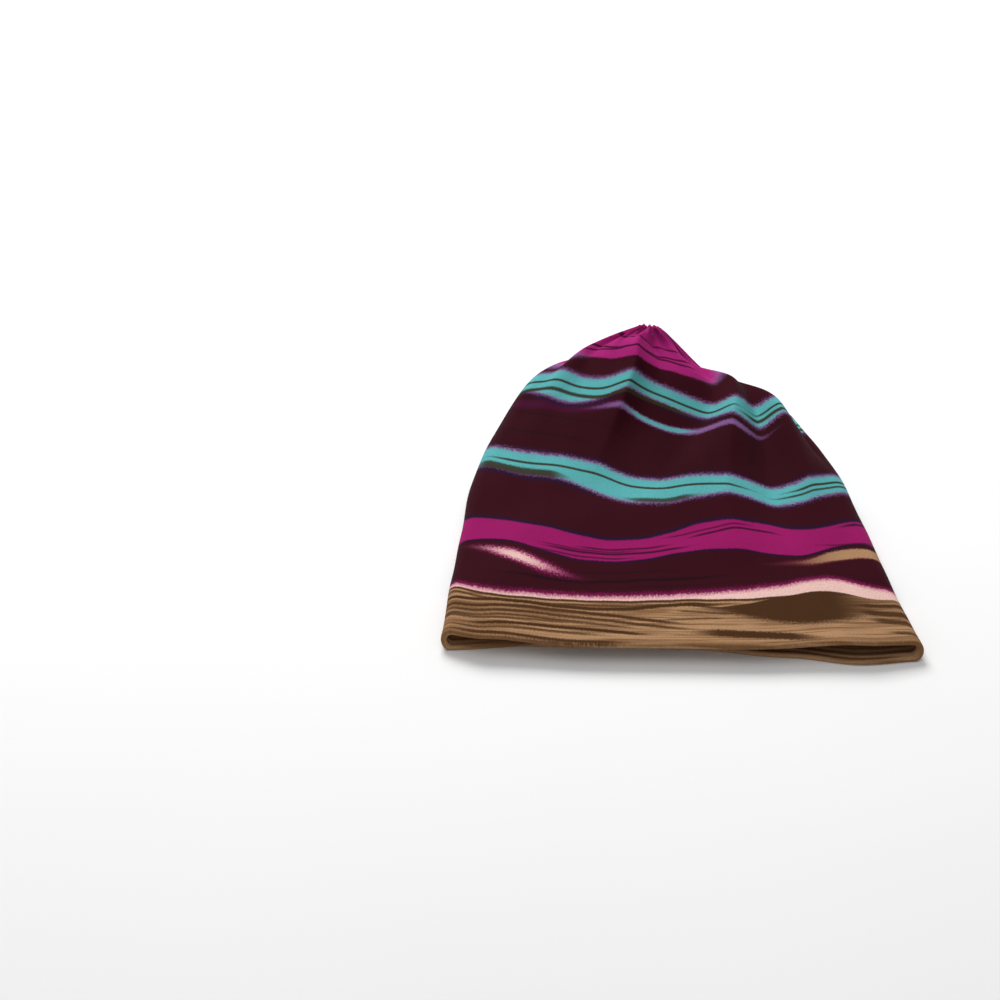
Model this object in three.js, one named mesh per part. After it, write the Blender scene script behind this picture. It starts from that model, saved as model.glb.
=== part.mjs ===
// A stretch-jersey nightcap lying flat on a table, brim to the front, crown gathered at the back.
// It is one closed solid: outer face, rolled brim edge and inner face of a doubled cloth tube.
// Millimetres, +Z up, the brim along X, the crown towards +Y.
import * as THREE from "three";

const BRIM_WIDTH = 260;
const CAP_LENGTH = 268;
const CROWN_HEIGHT = 60;
const MOUTH_HEIGHT = 11.6;
const CLOTH = 2.2;
const BRIM_ROLL = 3.2;
const BRIM_ROLL_DEPTH = 7;
const BRIM_FOLD_RADIUS = 5.4;
const CROWN_FOLD_RADIUS = 17.5;

// The gather is a small tilted ring that closes the crown, with a dimple in its middle.
const GATHER_RADIUS = 7.5;
const GATHER_PLACE = 0.922;
const GATHER_OFFSET = -0.225;
const GATHER_TILT = THREE.MathUtils.degToRad(40);
const GATHER_FULLNESS = 0.6;
const PLEATS = 13;
const PLEAT_DEPTH = 2.4;
const PLEAT_START = 0.72;
const PLEAT_FULL = 0.92;
const PLEAT_AT_GATHER = 0.4;

// Gives each number of a table's row the name of its column.
const named = (columns, rows) => rows.map(
  (row) => Object.fromEntries(columns.map((name, i) => [name, row[i]])),
);

// One row for each cross-section of the tube, "along" from the brim (0) to the gather (1).
// topY and botY are shares of the cap's length, where the upper and lower layers lie.
// rise is the upper layer's share of the climb from mouth height to crown height.
// lift is the lower layer's share of the crown height, round the share of the side radius.
// centre and wide are shares of half the brim's width.
// leftFull and rightFull say how fast the upper layer falls to each side, small is boxy.
const SECTIONS = named(
  ["along", "topY", "rise", "botY", "lift", "centre", "wide", "round", "leftFull", "rightFull"],
  [
    [0.00, 0.018, 0.00, 0.000, 0.00, 0.000, 1.000, 0.00, 0.90, 0.90],
    [0.15, 0.150, 0.03, 0.155, 0.00, -0.045, 0.958, 0.06, 0.80, 0.80],
    [0.35, 0.330, 0.12, 0.360, 0.00, -0.098, 0.907, 0.20, 0.70, 0.75],
    [0.55, 0.520, 0.27, 0.570, 0.00, -0.140, 0.841, 0.40, 0.60, 0.75],
    [0.72, 0.690, 0.48, 0.755, 0.00, -0.175, 0.728, 0.55, 0.50, 0.90],
    [0.84, 0.800, 0.71, 0.880, 0.01, -0.205, 0.590, 0.62, 0.45, 1.10],
    [0.93, 0.868, 0.90, 0.940, 0.13, -0.255, 0.320, 0.55, 0.55, 1.20],
  ],
);

// Each fold is a ridge (height above 0) or a valley, height as a share of the crown height.
// It runs over "along" from start through middle to end and is strongest at peak.
// around1 to around3 place it at start, middle and end: 0 is the right fold, 0.25 the upper
// middle, 0.5 the left fold, 0.75 the lower middle. width1 and width2 are its half-widths.
const FOLDS = named(
  ["name", "start", "middle", "end", "peak", "around1", "around2", "around3",
    "width1", "width2", "height", "sharp", "skew"],
  [
    ["main_ridge", 0.46, 0.75, 1.01, 0.88, 0.345, 0.292, 0.235, 0.034, 0.026, 0.175, 1.2, 0.4],
    ["peak_crease", 0.74, 0.88, 1.00, 0.92, 0.245, 0.225, 0.205, 0.012, 0.018, -0.050, 1.8, 0],
    ["first_valley", 0.38, 0.75, 1.00, 0.90, 0.310, 0.166, 0.070, 0.040, 0.030, -0.145, 1.6, 0.2],
    ["second_ridge", 0.15, 0.65, 0.96, 0.84, 0.155, 0.150, 0.075, 0.030, 0.020, 0.125, 1.4, 0],
    ["second_valley", 0.15, 0.52, 0.97, 0.76, 0.085, 0.110, 0.045, 0.024, 0.018, -0.105, 1.8, 0],
    ["third_ridge", 0.20, 0.60, 0.95, 0.74, 0.058, 0.064, 0.054, 0.022, 0.014, 0.100, 1.6, 0],
    ["crown_notch", 0.76, 0.88, 1.02, 0.92, 0.060, 0.055, 0.050, 0.034, 0.040, -0.060, 2.0, 0],
    ["side_groove", 0.52, 0.70, 0.95, 0.80, 0.028, 0.030, 0.026, 0.012, 0.012, -0.145, 1.8, 0],
    ["side_lobe", 0.45, 0.70, 0.97, 0.74, -0.004, -0.004, -0.004, 0.040, 0.040, -0.045, 2.0, 0],
    ["left_swell", -0.30, 0.10, 0.50, 0.05, 0.450, 0.445, 0.440, 0.050, 0.050, 0.045, 2.0, 0],
    ["mouth_gape", -0.60, 0.00, 0.45, 0.00, 0.075, 0.075, 0.080, 0.050, 0.050, 0.035, 2.0, 0],
  ],
);

// How far each place of the brim's edge reaches to the front, as a share of the cap's length.
const BRIM_EDGE = named(
  ["around", "forward"],
  [
    [0.00, 0.000],
    [0.07, 0.018],
    [0.20, 0.035],
    [0.35, 0.039],
    [0.45, 0.024],
    [0.50, 0.000],
    [0.60, -0.018],
    [0.75, -0.020],
    [0.86, 0.000],
    [0.93, 0.017],
    [1.00, 0.000],
  ],
);
const BRIM_EDGE_REACH = 0.3;

// The mesh has more columns on the upper layer, where the folds are, and crowds them sideways.
const TOP_COLUMNS = 60;
const UNDER_COLUMNS = 34;
const SIDE_CROWDING = 0.45;
const OUTER_ROWS = 36;
const INNER_ROWS = 20;
const ROLL_ROWS = 3;
const INNER_END = 0.95;
const ROW_CROWDING = 1.25;
// Rings that turn the gather inwards: share of its radius, and height along its axis in radii.
const GATHER_RINGS = named(
  ["reach", "height"],
  [
    [0.84, 0.16],
    [0.58, 0.14],
    [0.30, -0.10],
  ],
);
const GATHER_DIMPLE = -0.3;

const TURN = 2 * Math.PI;
const SLOPE_STEP = 0.001;

const clamp = (value, low, high) => Math.min(Math.max(value, low), high);
const smooth = (value) => {
  const k = clamp(value, 0, 1);
  return k * k * (3 - 2 * k);
};
const fraction = (value) => value - Math.floor(value);

function sectionRows() {
  const halfBrim = BRIM_WIDTH / 2;
  const rows = SECTIONS.map((row) => ({
    along: row.along,
    topY: row.topY * CAP_LENGTH,
    topZ: MOUTH_HEIGHT + row.rise * (CROWN_HEIGHT - MOUTH_HEIGHT),
    botY: row.botY * CAP_LENGTH,
    botZ: row.lift * CROWN_HEIGHT,
    centre: row.centre * halfBrim,
    half: GATHER_RADIUS + row.wide * (halfBrim - GATHER_RADIUS),
    radius: BRIM_FOLD_RADIUS + row.round * (CROWN_FOLD_RADIUS - BRIM_FOLD_RADIUS),
    leftFull: row.leftFull,
    rightFull: row.rightFull,
  }));
  const back = Math.sin(GATHER_TILT) * GATHER_RADIUS;
  const up = Math.cos(GATHER_TILT) * GATHER_RADIUS;
  rows.push({
    along: 1,
    topY: GATHER_PLACE * CAP_LENGTH - back,
    topZ: CROWN_HEIGHT,
    botY: GATHER_PLACE * CAP_LENGTH + back,
    botZ: CROWN_HEIGHT - 2 * up,
    centre: GATHER_OFFSET * halfBrim,
    half: GATHER_RADIUS,
    radius: GATHER_RADIUS,
    leftFull: GATHER_FULLNESS,
    rightFull: GATHER_FULLNESS,
  });
  return rows;
}

const ROWS = sectionRows();

// Slopes that keep a column's curve from overshooting between its rows.
function columnSlopes(name) {
  const steps = ROWS.slice(1).map((row, i) => (row[name] - ROWS[i][name]) / (row.along - ROWS[i].along));
  return ROWS.map((row, i) => {
    if (i === 0) return steps[0];
    if (i === ROWS.length - 1) return steps[i - 1];
    const product = steps[i - 1] * steps[i];
    return product <= 0 ? 0 : (2 * product) / (steps[i - 1] + steps[i]);
  });
}

const SLOPES = Object.fromEntries(Object.keys(ROWS[0]).map((name) => [name, columnSlopes(name)]));

function column(name, along) {
  const t = clamp(along, 0, 1);
  let i = 0;
  while (i < ROWS.length - 2 && t >= ROWS[i + 1].along) i += 1;
  const span = ROWS[i + 1].along - ROWS[i].along;
  const k = (t - ROWS[i].along) / span;
  return ROWS[i][name] * (2 * k ** 3 - 3 * k ** 2 + 1)
    + SLOPES[name][i] * span * (k ** 3 - 2 * k ** 2 + k)
    + ROWS[i + 1][name] * (-2 * k ** 3 + 3 * k ** 2)
    + SLOPES[name][i + 1] * span * (k ** 3 - k ** 2);
}

function brimForward(around) {
  const a = fraction(around);
  let i = 0;
  while (i < BRIM_EDGE.length - 2 && a >= BRIM_EDGE[i + 1].around) i += 1;
  const k = (a - BRIM_EDGE[i].around) / (BRIM_EDGE[i + 1].around - BRIM_EDGE[i].around);
  return THREE.MathUtils.lerp(BRIM_EDGE[i].forward, BRIM_EDGE[i + 1].forward, smooth(k)) * CAP_LENGTH;
}

// A place on the smooth tube: a flat band with round sides whose upper layer is puffed up.
function basePoint(around, along) {
  const half = column("half", along);
  const topY = column("topY", along);
  const topZ = column("topZ", along);
  const botY = column("botY", along);
  const botZ = column("botZ", along);
  const height = Math.hypot(topY - botY, topZ - botZ);
  const radius = Math.min(column("radius", along), height / 2, half);
  const flat = half - radius;
  const quarter = (Math.PI * radius) / 2;
  const walked = fraction(around) * 4 * (flat + quarter);
  let x;
  let h;
  if (walked < quarter) {
    x = flat + radius * Math.cos(walked / radius);
    h = radius + radius * Math.sin(walked / radius);
  } else if (walked < quarter + 2 * flat) {
    x = flat - (walked - quarter);
    h = 2 * radius;
  } else if (walked < 3 * quarter + 2 * flat) {
    const angle = (walked - quarter - 2 * flat) / radius + Math.PI / 2;
    x = -flat + radius * Math.cos(angle);
    h = radius + radius * Math.sin(angle);
  } else if (walked < 3 * quarter + 4 * flat) {
    x = -flat + (walked - 3 * quarter - 2 * flat);
    h = 0;
  } else {
    const angle = (walked - 3 * quarter - 4 * flat) / radius - Math.PI / 2;
    x = flat + radius * Math.cos(angle);
    h = radius + radius * Math.sin(angle);
  }
  const sideways = clamp(Math.abs(x) / half, 0, 1);
  const fullness = column(x > 0 ? "rightFull" : "leftFull", along);
  h += (height - 2 * radius) * smooth(h / (2 * radius)) * (1 - sideways ** 2) ** fullness;
  const forward = brimForward(around) * (1 - smooth(along / BRIM_EDGE_REACH));
  return new THREE.Vector3(
    column("centre", along) + x,
    botY + ((topY - botY) * h) / height - forward,
    botZ + ((topZ - botZ) * h) / height,
  );
}

function baseNormal(around, along) {
  const before = Math.max(along - SLOPE_STEP, 0);
  const after = Math.min(along + SLOPE_STEP, 1);
  const towardsCrown = basePoint(around, after).sub(basePoint(around, before));
  const roundTheCap = basePoint(around + SLOPE_STEP, along).sub(basePoint(around - SLOPE_STEP, along));
  return towardsCrown.cross(roundTheCap).normalize();
}

function foldPath(fold, along) {
  const t = clamp(along, fold.start, fold.end);
  const { start, middle, end } = fold;
  return (fold.around1 * (t - middle) * (t - end)) / ((start - middle) * (start - end))
    + (fold.around2 * (t - start) * (t - end)) / ((middle - start) * (middle - end))
    + (fold.around3 * (t - start) * (t - middle)) / ((end - start) * (end - middle));
}

function foldHeight(fold, around, along) {
  const strength = along < fold.peak
    ? smooth((along - fold.start) / (fold.peak - fold.start))
    : smooth((fold.end - along) / (fold.end - fold.peak));
  const progress = clamp((along - fold.start) / (fold.end - fold.start), 0, 1);
  const width = THREE.MathUtils.lerp(fold.width1, fold.width2, progress);
  const aside = fraction(around - foldPath(fold, along) + 0.5) - 0.5;
  const scaled = aside / (width * (aside > 0 ? 1 + fold.skew : 1 - fold.skew));
  return fold.height * CROWN_HEIGHT * strength * Math.exp(-(Math.abs(scaled) ** fold.sharp));
}

// Small pleats fan out from the gather. They are weakest on the upper middle, under the folds.
function pleatHeight(around, along) {
  const a = fraction(around);
  const gathered = smooth((along - PLEAT_FULL) / (1 - PLEAT_FULL));
  const strength = smooth((along - PLEAT_START) / (PLEAT_FULL - PLEAT_START))
    * THREE.MathUtils.lerp(1, PLEAT_AT_GATHER, gathered);
  const calm = 0.75 * Math.exp(-(((a - 0.22) / 0.17) ** 4)) * (1 - gathered);
  const wander = 0.8 * Math.sin(TURN * (2 * a + 0.1)) + 0.6 * Math.sin(TURN * (3 * a + 0.45));
  return PLEAT_DEPTH * strength * (1 - calm) * Math.cos(TURN * PLEATS * a + wander);
}

function relief(around, along) {
  return FOLDS.reduce((sum, fold) => sum + foldHeight(fold, around, along), pleatHeight(around, along));
}

// Half of what the turned-in hem adds to the cloth's thickness near the edge.
function hemSwell(along) {
  return ((BRIM_ROLL - CLOTH) / 2) * Math.exp(-((along * CAP_LENGTH / BRIM_ROLL_DEPTH) ** 2));
}

function outerPoint(around, along) {
  const point = basePoint(around, along);
  point.addScaledVector(baseNormal(around, along), relief(around, along) + hemSwell(along));
  point.z = Math.max(point.z, 0);
  return point;
}

function innerPoint(around, along) {
  const point = basePoint(around, along);
  point.addScaledVector(baseNormal(around, along), relief(around, along) - hemSwell(along) - CLOTH);
  point.z = Math.max(point.z, CLOTH);
  return point;
}

// The brim's edge is a half circle between the two faces, bulging out of the mouth.
function rollPoint(around, step) {
  const outside = outerPoint(around, 0);
  const inside = innerPoint(around, 0);
  const middle = outside.clone().add(inside).multiplyScalar(0.5);
  const across = outside.clone().sub(middle);
  const outwards = outerPoint(around, 0).sub(outerPoint(around, SLOPE_STEP)).normalize();
  const angle = (Math.PI * step) / ROLL_ROWS;
  const point = middle.addScaledVector(across, -Math.cos(angle));
  point.addScaledVector(outwards, across.length() * Math.sin(angle));
  point.z = Math.max(point.z, 0);
  return point;
}

function gatherPoint(around, ring) {
  const axis = new THREE.Vector3(0, Math.cos(GATHER_TILT), Math.sin(GATHER_TILT));
  const centre = gatherCentre();
  const rim = outerPoint(around, 1).sub(centre);
  return centre.addScaledVector(rim, ring.reach).addScaledVector(axis, ring.height * GATHER_RADIUS);
}

function gatherCentre() {
  return new THREE.Vector3(
    GATHER_OFFSET * (BRIM_WIDTH / 2),
    GATHER_PLACE * CAP_LENGTH,
    CROWN_HEIGHT - Math.cos(GATHER_TILT) * GATHER_RADIUS,
  );
}

function columnPlaces() {
  const even = [];
  for (let i = 0; i < TOP_COLUMNS; i += 1) even.push((0.5 * i) / TOP_COLUMNS);
  for (let i = 0; i < UNDER_COLUMNS; i += 1) even.push(0.5 + (0.5 * i) / UNDER_COLUMNS);
  return even.map((place) => place - (SIDE_CROWDING * Math.sin(2 * TURN * place)) / (2 * TURN));
}

function capGeometry() {
  const places = columnPlaces();
  const rings = [];
  for (let i = 0; i < INNER_ROWS; i += 1) {
    const along = INNER_END * (1 - (i / INNER_ROWS) ** ROW_CROWDING);
    rings.push(places.map((around) => innerPoint(around, along)));
  }
  for (let i = 0; i < ROLL_ROWS; i += 1) {
    rings.push(places.map((around) => rollPoint(around, i)));
  }
  for (let i = 0; i <= OUTER_ROWS; i += 1) {
    const along = 1 - (1 - i / OUTER_ROWS) ** ROW_CROWDING;
    rings.push(places.map((around) => outerPoint(around, along)));
  }
  GATHER_RINGS.forEach((ring) => {
    rings.push(places.map((around) => gatherPoint(around, ring)));
  });

  const axis = new THREE.Vector3(0, Math.cos(GATHER_TILT), Math.sin(GATHER_TILT));
  const dimple = gatherCentre().addScaledVector(axis, GATHER_DIMPLE * GATHER_RADIUS);
  const innerPole = rings[0].reduce((sum, point) => sum.add(point), new THREE.Vector3())
    .divideScalar(places.length);
  const points = rings.flat().concat(innerPole, dimple);

  const box = new THREE.Box3().setFromPoints(points);
  const middle = box.getCenter(new THREE.Vector3());
  const positions = points.flatMap((point) => [point.x - middle.x, point.y - middle.y, point.z]);

  // Each four-sided cell is cut along its shorter diagonal, so that slanting folds stay smooth.
  const count = places.length;
  const triangles = [];
  for (let r = 0; r < rings.length - 1; r += 1) {
    for (let c = 0; c < count; c += 1) {
      const here = r * count + c;
      const beside = r * count + ((c + 1) % count);
      const above = here + count;
      const across = beside + count;
      if (points[here].distanceTo(points[across]) < points[beside].distanceTo(points[above])) {
        triangles.push(here, across, beside, here, above, across);
      } else {
        triangles.push(here, above, beside, beside, above, across);
      }
    }
  }
  const innerPoleIndex = rings.length * count;
  const last = (rings.length - 1) * count;
  for (let c = 0; c < count; c += 1) {
    triangles.push(innerPoleIndex, c, (c + 1) % count);
    triangles.push(innerPoleIndex + 1, last + ((c + 1) % count), last + c);
  }

  const geometry = new THREE.BufferGeometry();
  geometry.setAttribute("position", new THREE.Float32BufferAttribute(positions, 3));
  geometry.setIndex(triangles);
  geometry.computeVertexNormals();
  return geometry;
}

const printedJersey = new THREE.MeshStandardMaterial({
  name: "printed_jersey",
  color: 0x5a1a30,
  roughness: 0.92,
  metalness: 0,
});

const cap = new THREE.Mesh(capGeometry(), printedJersey);
cap.name = "cap_body";

const nightcap = new THREE.Group();
nightcap.name = "nightcap";
nightcap.add(cap);

export default nightcap;
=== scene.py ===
"""Dressed nightcap: printed stretch jersey laid flat, with its folds, turned brim and gathered crown."""
import math

import bpy
import numpy as np
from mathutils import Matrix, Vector


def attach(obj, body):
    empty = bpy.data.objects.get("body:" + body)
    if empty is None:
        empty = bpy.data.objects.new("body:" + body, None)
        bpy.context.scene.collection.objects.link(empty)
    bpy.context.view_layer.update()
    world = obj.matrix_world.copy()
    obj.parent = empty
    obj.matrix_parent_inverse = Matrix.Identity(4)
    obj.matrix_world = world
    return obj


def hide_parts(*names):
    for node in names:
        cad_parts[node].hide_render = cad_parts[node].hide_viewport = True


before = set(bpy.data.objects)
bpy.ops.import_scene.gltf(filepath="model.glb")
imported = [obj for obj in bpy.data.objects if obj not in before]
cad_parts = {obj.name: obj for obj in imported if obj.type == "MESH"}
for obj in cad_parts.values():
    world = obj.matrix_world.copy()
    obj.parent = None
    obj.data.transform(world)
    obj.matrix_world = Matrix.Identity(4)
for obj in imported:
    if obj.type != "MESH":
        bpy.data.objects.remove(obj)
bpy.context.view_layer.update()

MM = 0.001
TURN = 2 * math.pi

# ---------------------------------------------------------------- the cap's form, in millimetres
BRIM_WIDTH = 260.0
CAP_LENGTH = 268.0
CROWN_HEIGHT = 60.0
MOUTH_HEIGHT = 11.6
CLOTH = 2.2
BRIM_ROLL = 3.2
BRIM_ROLL_DEPTH = 7.0
BRIM_FOLD_RADIUS = 5.4
CROWN_FOLD_RADIUS = 17.5
GATHER_RADIUS = 7.5
GATHER_PLACE = 0.922
GATHER_OFFSET = -0.225
GATHER_TILT = math.radians(40)
GATHER_FULLNESS = 0.6
PLEATS = 13
PLEAT_DEPTH = 2.4
PLEAT_START, PLEAT_FULL, PLEAT_AT_GATHER = 0.72, 0.92, 0.4
BRIM_EDGE_REACH = 0.3
SLOPE_STEP = 1e-3
# The cloth was cut to this size, round the head and from brim to crown.
CLOTH_ROUND = 520.0
CLOTH_LONG = 280.0

SECTION_COLUMNS = ["along", "topY", "rise", "botY", "lift", "centre", "wide", "round", "leftFull", "rightFull"]
SECTIONS = [
    [0.00, 0.018, 0.00, 0.000, 0.00, 0.000, 1.000, 0.00, 0.90, 0.90],
    [0.15, 0.150, 0.03, 0.155, 0.00, -0.045, 0.958, 0.06, 0.80, 0.80],
    [0.35, 0.330, 0.12, 0.360, 0.00, -0.098, 0.907, 0.20, 0.70, 0.75],
    [0.55, 0.520, 0.27, 0.570, 0.00, -0.140, 0.841, 0.40, 0.60, 0.75],
    [0.72, 0.690, 0.48, 0.755, 0.00, -0.175, 0.728, 0.55, 0.50, 0.90],
    [0.84, 0.800, 0.71, 0.880, 0.01, -0.205, 0.590, 0.62, 0.45, 1.10],
    [0.93, 0.868, 0.90, 0.940, 0.13, -0.255, 0.320, 0.55, 0.55, 1.20],
]
# name, start, middle, end, peak, around at those three, half-widths, height, sharpness, skew
FOLDS = [
    ["main_ridge", 0.46, 0.75, 1.01, 0.88, 0.345, 0.292, 0.235, 0.034, 0.026, 0.175, 1.2, 0.4],
    ["peak_crease", 0.74, 0.88, 1.00, 0.92, 0.245, 0.225, 0.205, 0.012, 0.018, -0.050, 1.8, 0],
    ["first_valley", 0.38, 0.75, 1.00, 0.90, 0.310, 0.166, 0.070, 0.040, 0.030, -0.145, 1.6, 0.2],
    ["second_ridge", 0.15, 0.65, 0.96, 0.84, 0.155, 0.150, 0.075, 0.030, 0.020, 0.125, 1.4, 0],
    ["second_valley", 0.15, 0.52, 0.97, 0.76, 0.085, 0.110, 0.045, 0.024, 0.018, -0.105, 1.8, 0],
    ["third_ridge", 0.20, 0.60, 0.95, 0.74, 0.058, 0.064, 0.054, 0.022, 0.014, 0.100, 1.6, 0],
    ["crown_notch", 0.76, 0.88, 1.02, 0.92, 0.060, 0.055, 0.050, 0.034, 0.040, -0.060, 2.0, 0],
    ["side_groove", 0.52, 0.70, 0.95, 0.80, 0.028, 0.030, 0.026, 0.012, 0.012, -0.145, 1.8, 0],
    ["side_lobe", 0.45, 0.70, 0.97, 0.74, -0.004, -0.004, -0.004, 0.040, 0.040, -0.045, 2.0, 0],
    ["left_swell", -0.30, 0.10, 0.50, 0.05, 0.450, 0.445, 0.440, 0.050, 0.050, 0.045, 2.0, 0],
    ["mouth_gape", -0.60, 0.00, 0.45, 0.00, 0.075, 0.075, 0.080, 0.050, 0.050, 0.035, 2.0, 0],
]
BRIM_EDGE = [[0.00, 0.000], [0.07, 0.018], [0.20, 0.035], [0.35, 0.039], [0.45, 0.024], [0.50, 0.000],
             [0.60, -0.018], [0.75, -0.020], [0.86, 0.000], [0.93, 0.017], [1.00, 0.000]]


def smooth(x):
    x = np.clip(x, 0, 1)
    return x * x * (3 - 2 * x)


def section_rows():
    half = BRIM_WIDTH / 2
    rows = []
    for values in SECTIONS:
        r = dict(zip(SECTION_COLUMNS, values))
        rows.append(dict(
            along=r["along"],
            topY=r["topY"] * CAP_LENGTH,
            topZ=MOUTH_HEIGHT + r["rise"] * (CROWN_HEIGHT - MOUTH_HEIGHT),
            botY=r["botY"] * CAP_LENGTH,
            botZ=r["lift"] * CROWN_HEIGHT,
            centre=r["centre"] * half,
            half=GATHER_RADIUS + r["wide"] * (half - GATHER_RADIUS),
            radius=BRIM_FOLD_RADIUS + r["round"] * (CROWN_FOLD_RADIUS - BRIM_FOLD_RADIUS),
            leftFull=r["leftFull"],
            rightFull=r["rightFull"]))
    back = math.sin(GATHER_TILT) * GATHER_RADIUS
    up = math.cos(GATHER_TILT) * GATHER_RADIUS
    middle = GATHER_PLACE * CAP_LENGTH
    rows.append(dict(
        along=1.0, topY=middle - back, topZ=CROWN_HEIGHT, botY=middle + back, botZ=CROWN_HEIGHT - 2 * up,
        centre=GATHER_OFFSET * half, half=GATHER_RADIUS, radius=GATHER_RADIUS,
        leftFull=GATHER_FULLNESS, rightFull=GATHER_FULLNESS))
    return rows


ROWS = section_rows()


def monotone(x, y, t):
    """A curve through the points (x, y) that never overshoots between them."""
    x, y = np.array(x, float), np.array(y, float)
    step = np.diff(y) / np.diff(x)
    slope = np.empty_like(y)
    slope[0], slope[-1] = step[0], step[-1]
    for i in range(1, len(y) - 1):
        product = step[i - 1] * step[i]
        slope[i] = 0 if product <= 0 else 2 * product / (step[i - 1] + step[i])
    i = np.clip(np.searchsorted(x, t, side="right") - 1, 0, len(x) - 2)
    h = x[i + 1] - x[i]
    k = (t - x[i]) / h
    return ((2 * k**3 - 3 * k**2 + 1) * y[i] + (k**3 - 2 * k**2 + k) * h * slope[i]
            + (-2 * k**3 + 3 * k**2) * y[i + 1] + (k**3 - k**2) * h * slope[i + 1])


def column(name, t):
    return monotone([r["along"] for r in ROWS], [r[name] for r in ROWS], np.clip(t, 0, 1))


def brim_forward(a):
    a = a % 1.0
    x = np.array([r[0] for r in BRIM_EDGE])
    y = np.array([r[1] for r in BRIM_EDGE])
    i = np.clip(np.searchsorted(x, a, side="right") - 1, 0, len(x) - 2)
    return (y[i] + (y[i + 1] - y[i]) * smooth((a - x[i]) / (x[i + 1] - x[i]))) * CAP_LENGTH


def base_point(a, t):
    """A place on the smooth tube: a flat band with round sides whose upper layer is puffed up."""
    half, centre = column("half", t), column("centre", t)
    top_y, top_z, bot_y, bot_z = (column(n, t) for n in ("topY", "topZ", "botY", "botZ"))
    height = np.hypot(top_y - bot_y, top_z - bot_z)
    up_y, up_z = (top_y - bot_y) / height, (top_z - bot_z) / height
    r = np.minimum(column("radius", t), np.minimum(height / 2, half))
    flat = half - r
    q = np.pi * r / 2
    d = (a % 1.0) * 4 * (flat + q)
    left = (d - q - 2 * flat) / r + np.pi / 2
    right = (d - 3 * q - 4 * flat) / r - np.pi / 2
    parts = [d < q, d < q + 2 * flat, d < 3 * q + 2 * flat, d < 3 * q + 4 * flat]
    x = np.select(parts, [flat + r * np.cos(d / r), flat - (d - q), -flat + r * np.cos(left),
                          -flat + (d - 3 * q - 2 * flat)], flat + r * np.cos(right))
    h = np.select(parts, [r + r * np.sin(d / r), 2 * r + 0 * d, r + r * np.sin(left), 0 * d],
                  r + r * np.sin(right))
    sideways = np.clip(np.abs(x) / half, 0, 1)
    fullness = np.where(x > 0, column("rightFull", t), column("leftFull", t))
    h = h + (height - 2 * r) * smooth(h / (2 * r)) * (1 - sideways**2) ** fullness
    forward = brim_forward(a) * (1 - smooth(t / BRIM_EDGE_REACH))
    return np.stack([centre + x, bot_y + up_y * h - forward, bot_z + up_z * h], axis=-1)


def base_normal(a, t):
    across = base_point(a + SLOPE_STEP, t) - base_point(a - SLOPE_STEP, t)
    onwards = base_point(a, np.minimum(t + SLOPE_STEP, 1)) - base_point(a, np.maximum(t - SLOPE_STEP, 0))
    n = np.cross(onwards, across)
    return n / np.maximum(np.linalg.norm(n, axis=-1, keepdims=True), 1e-9)


def fold_relief(a, t):
    total = np.zeros(np.broadcast(a, t).shape)
    for (_, start, mid, end, peak, a1, a2, a3, w1, w2, height, sharp, skew) in FOLDS:
        strength = np.where(t < peak, smooth((t - start) / (peak - start)), smooth((end - t) / (end - peak)))
        progress = np.clip((t - start) / (end - start), 0, 1)
        q = np.clip(t, start, end)
        path = (a1 * (q - mid) * (q - end) / ((start - mid) * (start - end))
                + a2 * (q - start) * (q - end) / ((mid - start) * (mid - end))
                + a3 * (q - start) * (q - mid) / ((end - start) * (end - mid)))
        aside = (a - path + 0.5) % 1.0 - 0.5
        aside = aside / ((w1 + (w2 - w1) * progress) * np.where(aside > 0, 1 + skew, 1 - skew))
        total = total + height * CROWN_HEIGHT * strength * np.exp(-np.abs(aside) ** sharp)
    return total


def pleat_relief(a, t):
    a = a % 1.0
    gathered = smooth((t - PLEAT_FULL) / (1 - PLEAT_FULL))
    strength = smooth((t - PLEAT_START) / (PLEAT_FULL - PLEAT_START)) * (1 + (PLEAT_AT_GATHER - 1) * gathered)
    calm = 0.75 * np.exp(-(((a - 0.22) / 0.17) ** 4)) * (1 - gathered)
    wander = 0.8 * np.sin(TURN * (2 * a + 0.1)) + 0.6 * np.sin(TURN * (3 * a + 0.45))
    return PLEAT_DEPTH * strength * (1 - calm) * np.cos(TURN * PLEATS * a + wander)


# Finer shape of the cloth than the plain solid has: soft rumples, puckers at the gather, the back seam.
# Each rumple is a wave: height, turns round the cap, turns along it, phase, where it starts and ends.
RUMPLES = [
    [0.35, 7, 1.3, 0.10, 0.05, 0.95], [0.30, 11, -1.1, 0.55, 0.20, 1.00], [0.28, 5, 3.1, 0.30, 0.00, 0.90],
    [0.22, 17, 1.9, 0.75, 0.30, 1.00], [0.16, 23, -2.3, 0.20, 0.00, 0.60], [0.20, 3, 6.1, 0.85, 0.05, 0.80],
]
RUMPLE_FADE = 0.15
PUCKERS = 31
PUCKER_DEPTH = 0.55
PUCKER_START, PUCKER_REACH = 0.86, 0.12
SEAM_GROOVE = 0.7
SEAM_GROOVE_WIDTH = 0.0045


def fine_relief(a, t):
    total = np.zeros(np.broadcast(a, t).shape)
    for height, round_turns, long_turns, phase, start, end in RUMPLES:
        strength = smooth((t - start) / RUMPLE_FADE) * smooth((end - t) / RUMPLE_FADE)
        total = total + height * strength * np.sin(TURN * (round_turns * a + long_turns * t + phase))
    gathered = smooth((t - PUCKER_START) / PUCKER_REACH)
    total = total + PUCKER_DEPTH * gathered * np.cos(TURN * PUCKERS * a + 1.7 * np.sin(TURN * 4 * a))
    seam = np.abs((a + 0.25 + 0.5) % 1.0 - 0.5) / SEAM_GROOVE_WIDTH
    return total - SEAM_GROOVE * np.exp(-seam**2) * smooth(t / 0.03)


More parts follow.
